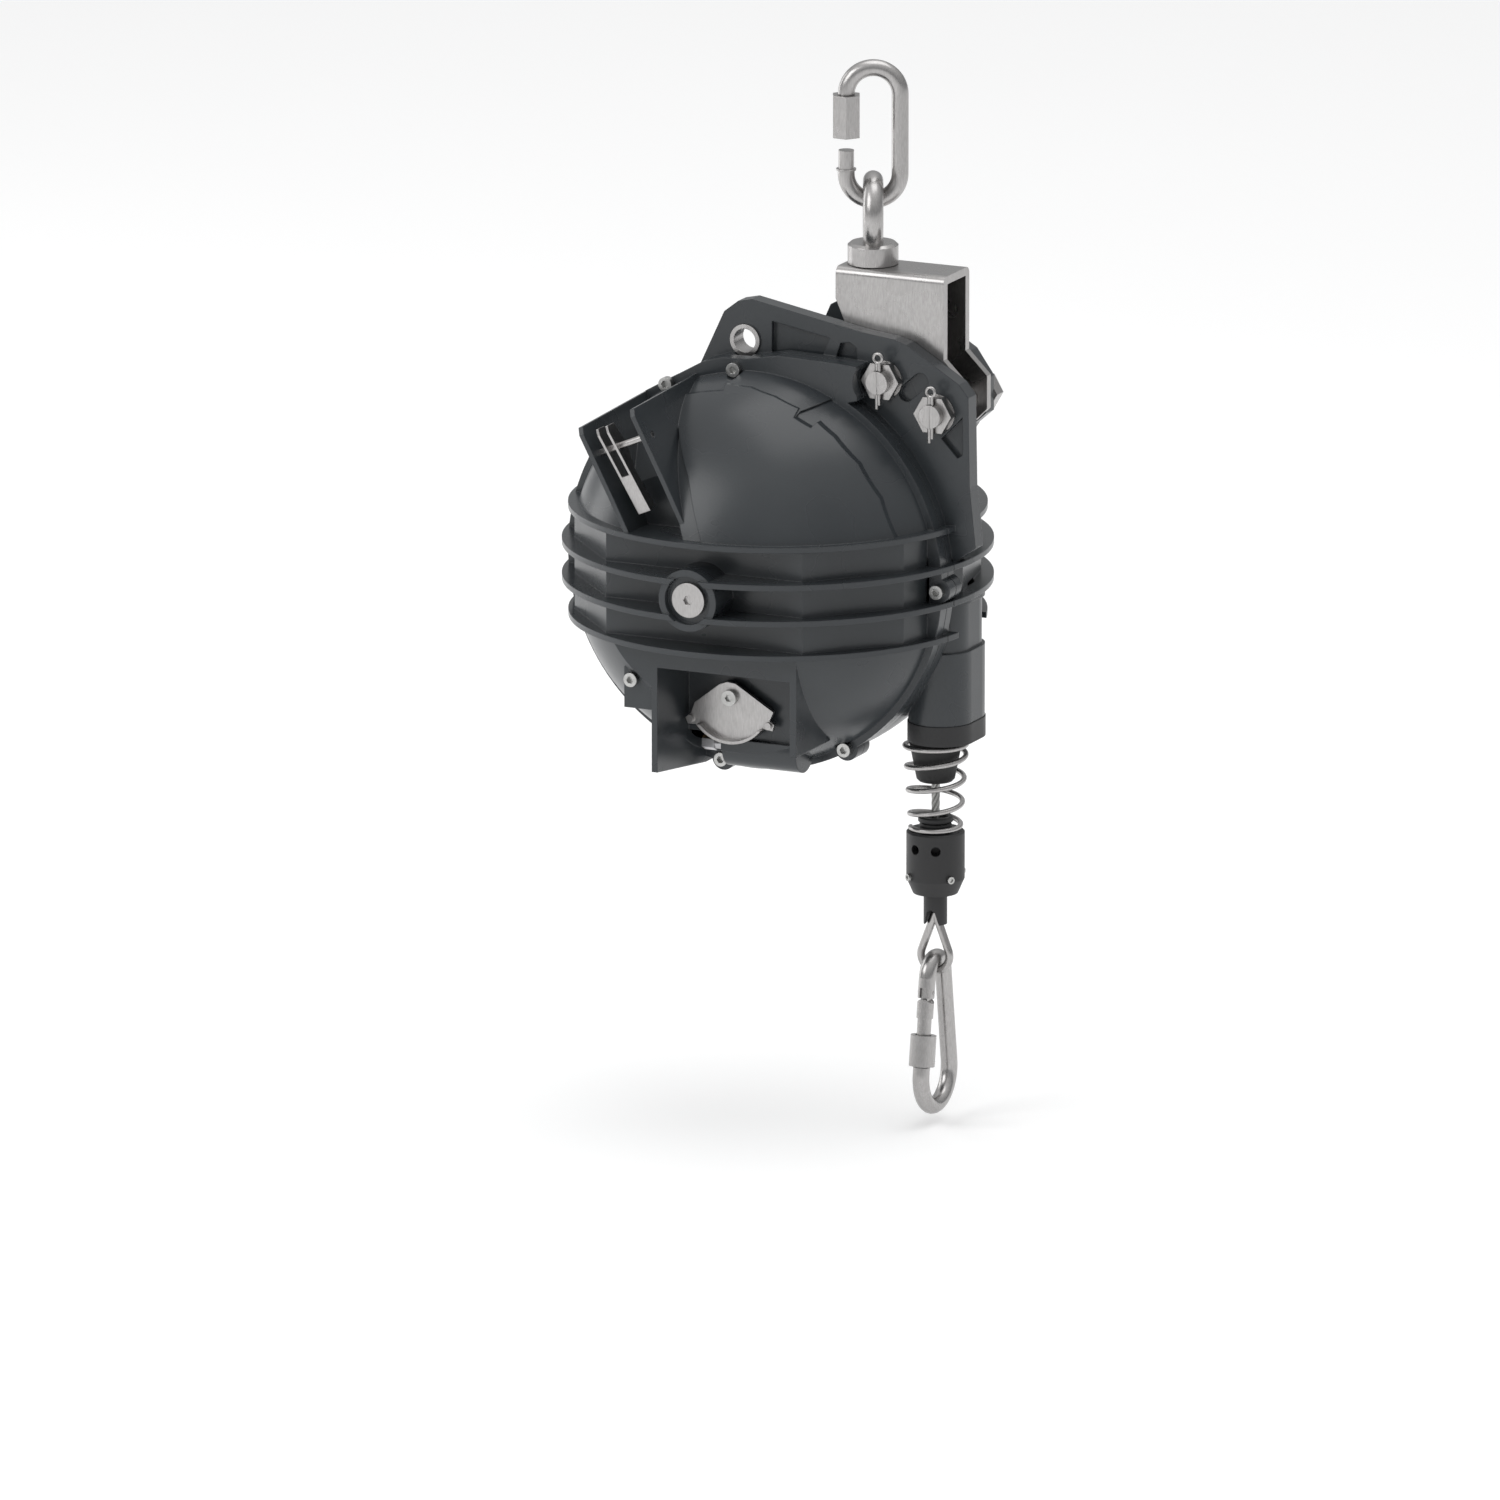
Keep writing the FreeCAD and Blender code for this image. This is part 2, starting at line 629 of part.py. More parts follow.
# ---------------------------------------------------------------- suspension
def rounded(name, base, radius, chosen):
    """Round the edges whose middle point the test picks."""
    doc.recompute()
    item = doc.addObject("Part::Fillet", name)
    item.Base = base
    item.Edges = [(number, radius, radius) for number, edge in enumerate(base.Shape.Edges, start=1)
                  if chosen(edge, edge.valueAt((edge.FirstParameter + edge.LastParameter) / 2))]
    return item


def hanger_bracket():
    """A folded stainless plate: two legs between the lugs and a top that carries the swivel."""
    legs = []
    back_leg_start = "bracket_front + bracket_depth - bracket_plate"
    for name, start in (("front_leg", "bracket_front"), ("back_leg", back_leg_start)):
        legs.append(pad(name, "xz", [
            ("bracket_left", "bracket_top"), ("bracket_right", "bracket_top"), ("bracket_right", 130),
            (124, 116), (124, 96), (116, 88), (104, 88), (60, 113), (46, 147), ("bracket_left", 161),
        ], start, "bracket_plate"))
    top = box("bracket_deck", ("bracket_right - bracket_left", "bracket_depth", "bracket_plate"),
              ("bracket_left", "bracket_front", "bracket_top - bracket_plate"))
    front, back = value("bracket_front"), value("bracket_front + bracket_depth")

    def on_the_fold(edge, middle):
        beside = min(abs(middle.y - front), abs(middle.y - back))
        return abs(middle.z - value("bracket_top")) < 0.01 and beside < 0.01

    folded = rounded("bracket_folded", fuse("bracket_blank", top, *legs), 4.5, on_the_fold)
    holes = [cylinder(f"bracket_hole_{number}", "bolt_radius + 0.1", 90, (x, -30, z), "y")
             for number, (x, z) in enumerate(BOLT_PLACES, start=1)]
    swivel = cylinder("bracket_swivel_hole", 8.1, 20, ("hang_x", "hang_y", "bracket_top - 10"))
    finish("hanger_bracket", cut("bracket", folded, swivel, *holes))


WASHER_LENGTH = 1.2
WASHER_FRONT = -18.2
NUT_LENGTH = 6.0
NUT_FRONT = -24.2
BOLT_FRONT = -28.8
COTTER_Y = -26.5
COTTER_WIRE = 1.0
NUT_FLATS = 21.0
LUG_BACK = 41.3


def hanger_bolts():
    """Two M14 bolts through lugs and bracket, each with a washer, a nut and a cotter pin."""
    for number, (x, z) in enumerate(BOLT_PLACES, start=1):
        shank = cylinder(f"bolt_shank_{number}", "bolt_radius", LUG_BACK - BOLT_FRONT,
                         (x, BOLT_FRONT, z), "y")
        head = hexagon(f"bolt_head_{number}", NUT_FLATS, 8.8, (x, LUG_BACK, z), "y")
        pin_hole = cylinder(f"bolt_pin_hole_{number}", 2.2, 20, (x, COTTER_Y, f"{z} - 10"))
        blank = fuse(f"bolt_blank_{number}", shank, head)
        finish(f"hanger_bolt_{number}", cut(f"bolt_{number}", blank, pin_hole))
        washer = cut(f"washer_{number}",
                     cylinder(f"washer_disc_{number}", 11.5, WASHER_LENGTH, (x, WASHER_FRONT, z), "y"),
                     cylinder(f"washer_hole_{number}", "bolt_radius + 0.1", 4, (x, WASHER_FRONT - 1, z), "y"))
        finish(f"hanger_washer_{number}", washer)
        nut = cut(f"nut_{number}",
                  hexagon(f"nut_hexagon_{number}", NUT_FLATS, NUT_LENGTH, (x, NUT_FRONT, z), "y"),
                  cylinder(f"nut_hole_{number}", "bolt_radius + 0.02", 12, (x, NUT_FRONT - 3, z), "y"))
        finish(f"hanger_nut_{number}", nut)
        loop = torus(f"cotter_loop_{number}", 2.7, COTTER_WIRE, (x, COTTER_Y, f"{z} + 14.5"), "y")
        leg_left = cylinder(f"cotter_left_{number}", COTTER_WIRE, 27.8,
                            (f"{x} - 0.8", COTTER_Y, f"{z} - 16"))
        leg_right = cylinder(f"cotter_right_{number}", COTTER_WIRE, 25.3,
                             (f"{x} + 0.8", COTTER_Y, f"{z} - 13.5"))
        finish(f"cotter_pin_{number}", fuse(f"cotter_{number}", loop, leg_left, leg_right))


def safety_bush():
    """The flanged stainless bush of the safety chain hole."""
    tube = cylinder("bush_tube", 8.2, 13.0, ("safety_x", -18.5, "safety_z"), "y")
    flange = cylinder("bush_flange", 9.6, 1.5, ("safety_x", -18.5, "safety_z"), "y")
    bore = cylinder("bush_bore", "safety_bore", 20, ("safety_x", -22, "safety_z"), "y")
    finish("safety_bush", cut("bush", fuse("bush_blank", tube, flange), bore))


def suspension_turn():
    """Across the suspension line, square to the eye."""
    return Rotation(Vector(0, 0, 1), value("view_turn"))


def swivel():
    """Eye, collar and shank in one forging, with its nut and thrust washer under the bracket."""
    ring = torus("eye_ring", "eye_radius", "eye_bar", ("hang_x", "hang_y", "eye_centre_z"),
                 suspension_turn() * ALONG["x"])
    collar = cylinder("eye_collar", 15, 11.0, ("hang_x", "hang_y", "bracket_top + 0.3"))
    shoulder = cone("eye_shoulder", 15, 13.2, 1.6, ("hang_x", "hang_y", "bracket_top + 11.3"))
    shank = cylinder("eye_shank", 8.0, 32, ("hang_x", "hang_y", 158))
    finish("swivel_eye", fuse("eye", ring, collar, shoulder, shank))
    nut = cut("swivel_nut_cut", hexagon("swivel_nut_hexagon", 21, 12, ("hang_x", "hang_y", 160.5)),
              cylinder("swivel_nut_hole", 8.02, 20, ("hang_x", "hang_y", 158)))
    finish("swivel_nut", nut)
    washer = cut("swivel_washer_cut", cylinder("swivel_washer_disc", 12, 2.4, ("hang_x", "hang_y", 172.6)),
                 cylinder("swivel_washer_hole", 8.1, 10, ("hang_x", "hang_y", 170)))
    finish("swivel_washer", washer)


LINK_NUT_LOW = 256.0
LINK_NUT_HIGH = 281.3
LINK_STUB_TOP = 248.0
LINK_STUB_FOOT = 236.0
LINK_THREAD = 4.6
LINK_NUT_FLATS = 15.6


def quick_link():
    """An open oval link of round wire; its sleeve nut is screwed back to leave the gap open."""
    turn = suspension_turn()
    across = turn.multVec(Vector(1, 0, 0))

    def at(offset, z):
        x = f"hang_x + ({offset}) * {across.x}"
        y = f"hang_y + ({offset}) * {across.y}"
        return (x, y, z)

    low_centre = "link_low + link_half_width"
    high_centre = "hang_z + link_wire - link_half_width"
    bows = []
    for name, centre, spin in (("low_bow", low_centre, 180), ("high_bow", high_centre, 0)):
        bow = torus(name, "link_half_width", "link_wire", at(0, centre),
                    turn * ALONG["y"] * Rotation(Vector(0, 0, 1), 180 + spin))
        bow.Angle3 = 180
        bows.append(bow)
    right = cylinder("link_leg", "link_wire", f"{high_centre} - ({low_centre})",
                     at("link_half_width", low_centre))
    top_end = cylinder("link_top_end", LINK_THREAD, f"{high_centre} - 258 + 1", at("-link_half_width", 258))
    stub_base = cylinder("link_stub_base", "link_wire", f"{LINK_STUB_FOOT} - ({low_centre})",
                         at("-link_half_width", low_centre))
    stub_ring = cylinder("link_stub_ring", "link_wire + 0.9", 1.0, at("-link_half_width", LINK_STUB_FOOT))
    stub = cylinder("link_stub", LINK_THREAD, LINK_STUB_TOP - LINK_STUB_FOOT + 4,
                    at("-link_half_width", LINK_STUB_FOOT - 4))
    finish("quick_link", fuse("link", *bows, right, top_end, stub_base, stub_ring, stub))
    nut = cut(
        "link_nut_cut",
        hexagon("link_nut_hexagon", LINK_NUT_FLATS, LINK_NUT_HIGH - LINK_NUT_LOW,
                at("-link_half_width", LINK_NUT_LOW), turn, 30),
        cylinder("link_nut_hole", LINK_THREAD + 0.08, 40, at("-link_half_width", 250)),
    )
    finish("link_nut", nut)


hanger_bracket()
hanger_bolts()
safety_bush()
swivel()
quick_link()
doc.recompute()


# ---------------------------------------------------------------- axle, drum and spring
TURN_GAP = 0.05


def ring(name, outer, inner, length, at, along="y"):
    """A plain ring whose place is the middle of its near face."""
    outside = cylinder(name + "_outside", outer, length, (0, 0, 0))
    inside = cylinder(name + "_inside", inner, f"({length}) + 2", (0, 0, -1))
    return put(cut(name, outside, inside), at, facing(along))


def axle_parts():
    """The fixed axle and its large front screw."""
    axle = cut("axle_bored", cylinder("axle_rod", "axle_radius", 228, (0, -116, 0), "y"),
               cylinder("axle_thread", 5.1, 30, (0, -120, 0), "y"))
    finish("axle", axle)
    finish("axle_screw", fastener("axle_screw_blank", 10.4, 3.0, 5.0, 22, 2.6, (0, BOSS_FRONT, 0), "y"))


RIM = 97.2
DRUM_FLANGE = 104.0
DRUM_BACK = 38.0


def rope_drum():
    """The rope drum with its lid, two bearings and the stored turns of rope."""
    profile = [
        (16.1, 14), (22, 14), (24, 30), (92, 30), (92, -30), (DRUM_FLANGE, -30), (DRUM_FLANGE, -26),
        (RIM, -26), (RIM, 34), (DRUM_FLANGE, 34), (DRUM_FLANGE, DRUM_BACK), (16.1, DRUM_BACK),
    ]
    finish("rope_drum", revolve("drum_turned", "xy", profile))
    lid = cylinder("drum_lid_disc", DRUM_FLANGE - 4, 3.6, (0, -33.8, 0), "y")
    opening = cylinder("drum_lid_opening", 17, 10, (0, -36, 0), "y")
    finish("drum_lid", cut("drum_lid_cut", lid, opening))
    for number, start in enumerate((15.0, 28.0), start=1):
        race = ring(f"bearing_{number}", 16.1, f"axle_radius + {TURN_GAP}", 9, (0, start, 0))
        groove = ring(f"bearing_groove_{number}", 14.2, 11.2, 0.8, (0, start - 0.001, 0))
        finish(f"drum_bearing_{number}", cut(f"bearing_cut_{number}", race, groove))


def on_circle(radius, turn, depth):
    """A point on a circle about the drum axis, by its angle from +X towards +Z."""
    return (radius * math.cos(math.radians(turn)), depth, radius * math.sin(math.radians(turn)))


WHEEL_TEETH = 60


def spring_parts():
    """The arbor with its worm wheel, and the spiral spring between arbor and drum."""
    arbor = ring("arbor_sleeve", 14, f"axle_radius + {TURN_GAP}", 64, (0, -52, 0))
    finish("spring_arbor", arbor)
    wheel = ring("wheel_disc", WHEEL_RADIUS, 14.02, 8, (0, -52, 0))
    tooth_turn = 360.0 / WHEEL_TEETH
    gaps = [cylinder(f"wheel_gap_{number}", 1.6, 12,
                     on_circle(WHEEL_RADIUS + 0.8, tooth_turn * number - 90.0, -54), "y")
            for number in range(WHEEL_TEETH)]
    lighten = [cylinder(f"wheel_window_{number}", 15, 12, on_circle(60, 60 * number, -54), "y")
               for number in range(6)]
    finish("worm_wheel", cut("wheel_cut", wheel, *gaps, *lighten))
    path = bind(doc.addObject("Part::Spiral", "spring_path"), Growth=4.4, Radius=16.0, Rotations=16.0)
    strip = doc.addObject("Part::Plane", "spring_strip")
    bind(strip, Length=1.2, Width=30)
    put(strip, (16.0, 0, -15), Rotation(Vector(1, 0, 0), 90))
    doc.recompute()
    coil = doc.addObject("Part::Sweep", "spring_coil")
    coil.Sections = [strip]
    coil.Spine = (path, [f"Edge{number}" for number in range(1, len(path.Shape.Edges) + 1)])
    coil.Solid = True
    coil.Frenet = False
    finish("spiral_spring", clone("spring_placed", coil, (0, -8, 0), ALONG["y"]))


axle_parts()
rope_drum()
spring_parts()
doc.recompute()


# ---------------------------------------------------------------- rope outlet and load train
def rope_parts():
    """The stored turns on the drum and the straight fall to the clamp."""
    turns = [
        torus(f"rope_turn_{number}", "drum_radius", "rope_radius - 0.05",
              (0, f"rope_y + {0.4 + ROPE_TURN_PITCH * number}", 0), "y")
        for number in range(1, 5)
    ]
    finish("rope_on_drum", fuse("rope_wound", *turns))
    fall = cylinder("rope_fall", "rope_radius", ROPE_START - ROPE_END, ("drum_radius", "rope_y", ROPE_END))
    finish("rope", fall)


ROPE_START = -2.0
ROPE_END = -188.0
ROPE_TURN_PITCH = 4.7
LINE = ("drum_radius", "rope_y")


def turned(name, profile):
    """A round piece on the rope line; the profile is (radius, height)."""
    return revolve(name, "xz", profile, at=(*LINE, 0))


def outlet_parts():
    """The collar under the tube, the rope guide inside it and the rubber buffer."""
    collar = cut(
        "collar",
        obround("collar_outside", "tube_radius + 1.0", "collar_bottom", "tube_bottom"),
        cylinder("collar_bore", 8.2, 30, (*LINE, -110)),
    )
    finish("outlet_collar", collar)
    finish("rope_guide", turned("guide_turned", [
        (3.4, -89.7), (9.2, -89.7), (9.2, -64), (7.2, -60), (3.4, -72),
    ]))
    finish("rubber_buffer", turned("buffer_turned", [
        (3.6, -127), (10.0, -127), (11.4, -125.5), (15.6, -104), (15.9, -102.2), (8.0, -102.2),
        (8.0, -90.2), (3.6, -90.2),
    ]))


def clamp_holes():
    """Cross holes in the clamp body, two towards the front and two behind."""
    holes = []
    for number, turn in enumerate((25.0, -20.0, 205.0, 160.0), start=1):
        spin = Rotation(Vector(0, 0, 1), turn) * Rotation(Vector(1, 0, 0), 90)
        reach = spin.multVec(Vector(0, 0, 9))
        at = (f"drum_radius + {reach.x}", f"rope_y + {reach.y}", -166.5)
        holes.append(cylinder(f"clamp_hole_{number}", 2.9, 12, at, spin))
    return holes


CLAMP_SCREW_TURNS = (54.0, 144.0, 234.0, 324.0)


def clamp_screws():
    """Four set screws round the foot of the clamp."""
    for number, turn in enumerate(CLAMP_SCREW_TURNS, start=1):
        spin = Rotation(Vector(0, 0, 1), turn) * Rotation(Vector(1, 0, 0), -90)
        reach = spin.multVec(Vector(0, 0, -17.6))
        at = (f"drum_radius + {reach.x}", f"rope_y + {reach.y}", -184.0)
        screw = fastener(f"clamp_set_screw_{number}", 2.2, 1.6, 2.2, 9.0, 1.1, (0, 0, 0), spin)
        finish(f"clamp_screw_{number}", put(screw, at, spin))


SPRING_LEVELS = (0, 1.2, 8.5, 15.8, 22.8, 30.2, 37.0, 44.2, 50.0, 51.0)
SPRING_RADIUS = 14.7
SPRING_FLARE = 0.072
SPRING_WIRE = 1.6
SPRING_FOOT = -157.0 + SPRING_WIRE


def half_turns():
    """The buffer spring as tilted half rings, each from one side of the coil to the other."""
    rings = []
    for number, (low, high) in enumerate(zip(SPRING_LEVELS, SPRING_LEVELS[1:])):
        near, far = SPRING_RADIUS + SPRING_FLARE * low, SPRING_RADIUS + SPRING_FLARE * high
        side = -1 if number % 2 == 0 else 1
        tilt = math.degrees(math.atan2(high - low, near + far))
        turn = Rotation(Vector(0, 0, 1), 0 if side == 1 else 180) * Rotation(Vector(0, 1, 0), tilt)
        arc = torus(f"half_turn_{number + 1}", math.hypot(near + far, high - low) / 2, SPRING_WIRE,
                    (side * (near - far) / 2, 0, (low + high) / 2), turn)
        arc.Angle3 = 180
        rings.append(arc)
    return rings


def load_train():
    """Spring, rope stop, clamp body with its wedge and screws, neck sleeve and thimble."""
    coil = fuse("buffer_coil", *half_turns())
    finish("buffer_spring", clone("buffer_coil_placed", coil, (*LINE, SPRING_FOOT)))
    finish("rope_stop", turned("stop_turned", [
        (2.6, -157), (9.6, -157), (9.6, -153.6), (9.0, -152.6), (10.4, -151.4), (10.4, -149.2),
        (9.6, -148.4), (7.8, -148.4), (7.0, -150.6), (2.6, -150.6),
    ]))
    body = turned("clamp_turned", [
        (2.6, -157), (16.3, -157), ("clamp_radius", -158), ("clamp_radius", -186), (13.4, -195),
        (8.6, -195), (8.6, -190), (2.6, -190),
    ])
    screws = []
    for number, turn in enumerate(CLAMP_SCREW_TURNS, start=1):
        spin = Rotation(Vector(0, 0, 1), turn) * Rotation(Vector(1, 0, 0), -90)
        reach = spin.multVec(Vector(0, 0, -20.0))
        at = (f"drum_radius + {reach.x}", f"rope_y + {reach.y}", -184.0)
        screws.append(cylinder(f"clamp_screw_hole_{number}", 2.25, 11.6, at, spin))
    finish("clamp_body", cut("clamp", body, *clamp_holes(), *screws))
    clamp_screws()
    neck = ring("neck_ring", "neck_radius", 5.4, 24.0, (*LINE, "neck_bottom"), "z")
    plug = cylinder("neck_plug", 8.5, 4.8, (*LINE, -194.9))
    notch = pad("neck_notch", "xz", [(-5.2, -216), (5.2, -216), (2.6, -206.5), (0, -204.6), (-2.6, -206.5)],
                -10, 20, (*LINE, 0))
    trim = cylinder("neck_trim", 20, 12, (*LINE, -190))
    finish("neck_sleeve", fuse("neck", cut("neck_cut", neck, trim, notch), plug))
    thimble()


THIMBLE_CENTRE = -233.5
THIMBLE_RADIUS = 9.2
THIMBLE_WIRE = 2.4
THIMBLE_APEX = -207.5


def thimble():
    """A pear-shaped eye of round bar, square to the snap hook."""
    rise = THIMBLE_APEX - THIMBLE_CENTRE
    flare = math.degrees(math.asin(THIMBLE_RADIUS / rise))
    bow = torus("thimble_bow", THIMBLE_RADIUS, THIMBLE_WIRE, (*LINE, THIMBLE_CENTRE),
                ALONG["y"] * Rotation(Vector(0, 0, 1), -flare))
    bow.Angle3 = 180 + 2 * flare
    leg_length = math.sqrt(rise ** 2 - THIMBLE_RADIUS ** 2)
    legs = []
    for side in (-1, 1):
        tilt = Rotation(Vector(0, 1, 0), 180 + side * flare)
        legs.append(cylinder(f"thimble_leg_{side + 2}", THIMBLE_WIRE, leg_length,
                             (*LINE, THIMBLE_APEX), tilt))
    finish("thimble", fuse("thimble_bent", bow, *legs))


rope_parts()
outlet_parts()
load_train()
doc.recompute()


# ---------------------------------------------------------------- snap hook
HOOK_TOP = -235.0
HOOK_BOTTOM = -325.0
HOOK_SMALL = 11.5
HOOK_LARGE = 20.0
GATE_START = 6.0
GATE_END = 53.4
SLEEVE_START = 34.0
SLEEVE_LENGTH = 18.6


def hook_line(distance):
    """A point on the gate side of the snap hook, by its distance below the small bow."""
    centre = HOOK_TOP - HOOK_SMALL
    return (
        "drum_radius",
        f"rope_y - {HOOK_SMALL * math.cos(HOOK_FLARE) + distance * math.sin(HOOK_FLARE)}",
        centre + HOOK_SMALL * math.sin(HOOK_FLARE) - distance * math.cos(HOOK_FLARE),
    )


HOOK_SPAN = (HOOK_TOP - HOOK_SMALL) - (HOOK_BOTTOM + HOOK_LARGE)
HOOK_FLARE = math.asin((HOOK_LARGE - HOOK_SMALL) / HOOK_SPAN)
HOOK_SIDE = math.sqrt(HOOK_SPAN ** 2 - (HOOK_LARGE - HOOK_SMALL) ** 2)
GATE_TURN = Rotation(Vector(1, 0, 0), 180 - math.degrees(HOOK_FLARE))
BACK_TURN = Rotation(Vector(1, 0, 0), 180 + math.degrees(HOOK_FLARE))


def snap_hook():
    """A pear-shaped hook of 10 mm wire with a sprung gate and a screw sleeve on the gate."""
    flare = math.degrees(HOOK_FLARE)
    small = torus("hook_small_bow", HOOK_SMALL, "hook_wire", (*LINE, HOOK_TOP - HOOK_SMALL),
                  ALONG["x"] * Rotation(Vector(0, 0, 1), 90 + flare))
    small.Angle3 = 180 - 2 * flare
    large = torus("hook_large_bow", HOOK_LARGE, "hook_wire", (*LINE, HOOK_BOTTOM + HOOK_LARGE),
                  ALONG["x"] * Rotation(Vector(0, 0, 1), -90 - flare))
    large.Angle3 = 180 + 2 * flare
    x, y, z = hook_line(0)
    mirrored = (x, f"2 * rope_y - ({y})", z)
    back = cylinder("hook_back", "hook_wire", HOOK_SIDE, mirrored, BACK_TURN)
    root = cylinder("hook_root", "hook_wire", GATE_START + 6, hook_line(0), GATE_TURN)
    nose = cylinder("hook_nose", "hook_wire", HOOK_SIDE - GATE_END, hook_line(GATE_END), GATE_TURN)
    slot = box("hook_slot", (4.4, 24, 20.8),
               (f"{x} - 2.2", f"({hook_line(GATE_START)[1]}) - 12", hook_line(GATE_START)[2] - 20))
    pin_hole = cylinder("hook_pin_hole", 1.25, 14, (f"{x} - 7", *hook_line(GATE_START + 2.5)[1:]), "x")
    finish("snap_hook", cut("hook", fuse("hook_bent", small, large, back, root, nose), slot, pin_hole))
    pin = cylinder("gate_pin_rod", 1.2, 10.2, (f"{x} - 5.1", *hook_line(GATE_START + 2.5)[1:]), "x")
    finish("gate_pin", pin)
    rod = cut(
        "gate_rod_cupped",
        cylinder("gate_rod", "hook_wire", GATE_END - GATE_START - 6.6, hook_line(GATE_START + 6.3), GATE_TURN),
        cylinder("gate_cup", 6.35, 14, (f"{x} - 7", *hook_line(GATE_START + 2.5)[1:]), "x"),
    )
    tongue = clone("gate_tongue_set", box("gate_tongue", (4.1, 5.6, 11), (-2.05, -2.8, 0)),
                   hook_line(GATE_START), GATE_TURN)
    eye = cylinder("gate_eye", 1.25, 14, (f"{x} - 7", *hook_line(GATE_START + 2.5)[1:]), "x")
    relief = ring("gate_sleeve_seat", 9, 4.2, SLEEVE_LENGTH + 1.0, hook_line(SLEEVE_START - 10), GATE_TURN)
    finish("hook_gate", cut("gate", fuse("gate_blank", rod, tongue), eye,
                            clone("gate_seat", relief, (0, 0, 0))))
    sleeve = ring("sleeve", 7.7, "hook_wire + 0.08", SLEEVE_LENGTH, hook_line(SLEEVE_START), GATE_TURN)
    finish("hook_sleeve", sleeve)


# ---------------------------------------------------------------- spring adjuster, lock lever, safety pawl
def adjuster():
    """Worm with its hexagon end and two bushes, and the swinging plate that guards it."""
    shaft = cylinder("worm_shaft", 4.0, 54, (-20, WORM_Y, WORM_Z), "x")
    core = cylinder("worm_core", 5.8, 24, (3, WORM_Y, WORM_Z), "x")
    end = hexagon("worm_hexagon", 9, 8, (-25, WORM_Y, WORM_Z), "x")
    threads = [torus(f"worm_thread_{number}", 6.4, 1.4, (16 + step, WORM_Y, WORM_Z), "x")
               for number, step in enumerate((-10.1, -5.05, 0.0, 5.05, 10.1), start=1)]
    finish("adjust_worm", fuse("worm", shaft, core, end, *threads))
    for number, start in enumerate((-3.9, 28.0), start=1):
        bush = ring(f"worm_bush_ring_{number}", WORM_BORE - 0.02, 4.05, 4.4 if number == 1 else 7.9,
                    (start, WORM_Y, WORM_Z), "x")
        finish(f"worm_bush_{number}", bush)
    x, z = PLATE_PIVOT
    sheet_metal = pad("plate_outline", "xz", [
        (-8, -64.5), (-3, -62.6), (2.5, -63.2), (27, -78), (24.5, -83.5), (27.5, -85.5),
        (26.5, -89.5), (20, -88.6), (13, -95.5), (3, -98.6), (-7, -97.2), (-15, -92.5),
        (-21, -90.2), (-28.5, -90.4), (-30.2, -86.8), (-26.5, -83.5),
        (-24, -77),
    ], -64.0, 2.4)
    lip = cut("plate_lip", cylinder("plate_lip_outside", 26.8, 5, (0, -68.9, -72.2), "y"),
              cylinder("plate_lip_inside", 25.0, 20, (0, -75, -72.2), "y"),
              between("plate_lip_above", (-60, -80, -89), (60, -50, 0)))
    rivets = [cylinder(f"plate_rivet_{number}", 2.3, 4.2, (px, -65.7, pz), "y")
              for number, (px, pz) in enumerate(((-26.6, -87.0), (23.9, -86.4)), start=1)]
    hole = cylinder("plate_hole", 3.05, 10, (x, -68, z), "y")
    finish("adjuster_plate", cut("plate", fuse("plate_blank", sheet_metal, lip, *rivets), hole))
    finish("plate_screw", fastener("plate_screw_blank", 4.8, 3.0, 3.0, 11.4, 1.9, (x, -64.1, z), "y"))


LEVER_LEFT = -20.0
LEVER_RIGHT = -11.8


def lock_lever():
    """A fork of folded stainless sheet on a cross pin between the channel walls."""
    side = [(-118.4, 112), (-119.4, 108), (-106, 56), (-98.5, 58), (-105.5, 82), (-103.5, 98), (-110, 112)]
    plates = [channel_prism("lever_left", side, LEVER_LEFT, 1.6),
              channel_prism("lever_right", side, LEVER_RIGHT - 1.6, 1.6)]
    web = channel_prism("lever_web", [(-112.2, 80), (-106, 56), (-104.3, 56.4), (-110.5, 80.4)],
                        LEVER_LEFT, LEVER_RIGHT - LEVER_LEFT)
    hole = cylinder("lever_hole", 2.05, 60, LEVER_PIN_START, LEVER_PIN_TURN)
    finish("lock_lever", cut("lever", fuse("lever_folded", web, *plates), hole))
    pin = cylinder("lever_pin_rod", 2.0, CHANNEL_INNER - CHANNEL_OUTER + 4.4, LEVER_PIN_START, LEVER_PIN_TURN)
    finish("lever_pin", pin)


PAWL_PIVOT = (70.0, 45.0)
PAWL_Y = -41.5


def safety_pawl():
    """The pawl on the drum lid that swings out if the rope runs away."""
    post = cylinder("pawl_post", 3.0, 8, on_circle(*PAWL_PIVOT[:1], PAWL_PIVOT[1], PAWL_Y - 0.3), "y")
    finish("pawl_pin", post)
    px, _, pz = on_circle(PAWL_PIVOT[0], PAWL_PIVOT[1], PAWL_Y)
    arm = pad("pawl_arm", "xz", [(-6, -6), (24, 4), (31, 14), (24, 17), (4, 10), (-7, 4)], PAWL_Y, 5.5)
    hole = cylinder("pawl_hole", 3.05, 10, (0, PAWL_Y - 2, 0), "y")
    turn = Rotation(Vector(0, 1, 0), 90)
    finish("safety_pawl", clone("pawl_set", cut("pawl", arm, hole), (px, 0, pz), turn))


snap_hook()
adjuster()
lock_lever()
safety_pawl()


